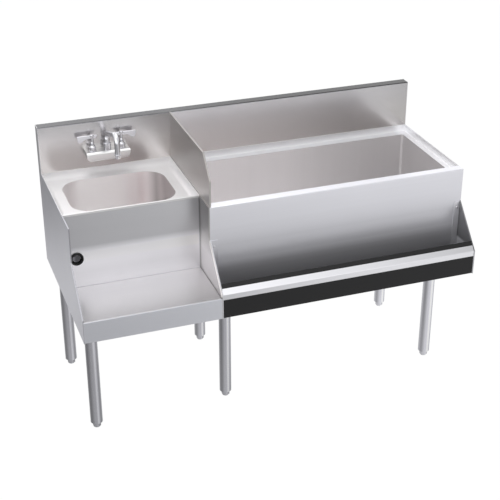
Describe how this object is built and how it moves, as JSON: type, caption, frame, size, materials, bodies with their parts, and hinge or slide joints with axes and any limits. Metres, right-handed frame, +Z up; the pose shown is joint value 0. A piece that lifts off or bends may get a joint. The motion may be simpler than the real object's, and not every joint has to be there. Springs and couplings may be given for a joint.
{
  "type": "bar sink with ice bin",
  "caption": "Underbar station in bent stainless sheet: sink with faucet and lower shelf on the left, deep insulated ice bin with bottle rail on the right, shared backsplash, tubular legs with screw feet",
  "frame": {"origin": "On the floor, in the middle of the footprint's width and depth", "axes": "+X to the right as seen from the front, from the sink to the ice bin; +Y to the wall behind; +Z up"},
  "size_m": [1.3716, 0.6096, 0.9514],
  "materials": {
    "stainless": "satin",
    "leg_steel": "satin",
    "chrome": "polished",
    "brass": "satin",
    "black_coating": "satin",
    "black_rubber": "matte",
    "foam": "matte"
  },
  "bodies": {
    "root": {"backsplash": "stainless", "left_splash_cap": "stainless", "right_splash_cap": "stainless", "divider_splash": "stainless", "sink_deck": "stainless", "sink_bowl": "stainless", "drain_body": "chrome", "drain_strainer": "chrome", "drain_gasket": "black_rubber", "drain_locknut": "brass", "tailpiece": "chrome", "riser_panel": "stainless", "cord_grommet": "black_rubber", "lower_shelf": "stainless", "left_end_panel": "stainless", "sink_right_panel": "stainless", "left_leg_channel": "stainless", "bin_rim": "stainless", "bin_liner": "stainless", "bin_insulation": "foam", "bin_front_panel": "stainless", "bin_left_panel": "stainless", "bin_right_panel": "stainless", "bin_back_panel": "stainless", "bin_bottom_panel": "stainless", "bin_drain_pipe": "leg_steel", "bin_drain_strainer": "stainless", "rail_trough": "black_coating", "rail_lip": "stainless", "rail_left_end": "stainless", "rail_right_end": "stainless", "rail_screws": "stainless", "leg_gussets": "leg_steel", "front_left_leg": "leg_steel", "rear_left_leg": "leg_steel", "front_middle_leg": "leg_steel", "rear_middle_leg": "leg_steel", "front_right_leg": "leg_steel", "rear_right_leg": "leg_steel", "foot_sockets": "leg_steel", "faucet_body": "chrome", "faucet_shanks": "brass", "shank_nuts": "brass", "hot_valve": "chrome", "cold_valve": "chrome", "spout_nut": "chrome"},
    "front_left_foot": {"front_left_foot": "leg_steel"},
    "rear_left_foot": {"rear_left_foot": "leg_steel"},
    "front_middle_foot": {"front_middle_foot": "leg_steel"},
    "rear_middle_foot": {"rear_middle_foot": "leg_steel"},
    "front_right_foot": {"front_right_foot": "leg_steel"},
    "rear_right_foot": {"rear_right_foot": "leg_steel"},
    "hot_lever": {"hot_handle": "chrome", "hot_stem": "brass", "hot_handle_screw": "chrome"},
    "cold_lever": {"cold_handle": "chrome", "cold_stem": "brass", "cold_handle_screw": "chrome"},
    "swivel_spout": {"spout": "chrome", "aerator": "chrome"}
  },
  "joints": [
    {"name": "front_left_foot_screw", "type": "slide", "parent": "root", "child": "front_left_foot", "axis": [0, 0, -1], "range_m": [0, 0.025]},
    {"name": "rear_left_foot_screw", "type": "slide", "parent": "root", "child": "rear_left_foot", "axis": [0, 0, -1], "range_m": [0, 0.025]},
    {"name": "front_middle_foot_screw", "type": "slide", "parent": "root", "child": "front_middle_foot", "axis": [0, 0, -1], "range_m": [0, 0.025]},
    {"name": "rear_middle_foot_screw", "type": "slide", "parent": "root", "child": "rear_middle_foot", "axis": [0, 0, -1], "range_m": [0, 0.025]},
    {"name": "front_right_foot_screw", "type": "slide", "parent": "root", "child": "front_right_foot", "axis": [0, 0, -1], "range_m": [0, 0.025]},
    {"name": "rear_right_foot_screw", "type": "slide", "parent": "root", "child": "rear_right_foot", "axis": [0, 0, -1], "range_m": [0, 0.025]},
    {"name": "hot_lever_turn", "type": "hinge", "parent": "root", "child": "hot_lever", "pos_m": [-0.508, 0.2426, 0.88], "axis": [0, 0, 1], "range_deg": [0, 90]},
    {"name": "cold_lever_turn", "type": "hinge", "parent": "root", "child": "cold_lever", "pos_m": [-0.4064, 0.2426, 0.88], "axis": [0, 0, 1], "range_deg": [-90, 0]},
    {"name": "spout_swivel", "type": "hinge", "parent": "root", "child": "swivel_spout", "pos_m": [-0.4572, 0.2426, 0.86], "axis": [0, 0, 1], "range_deg": [-90, 90]}
  ]
}
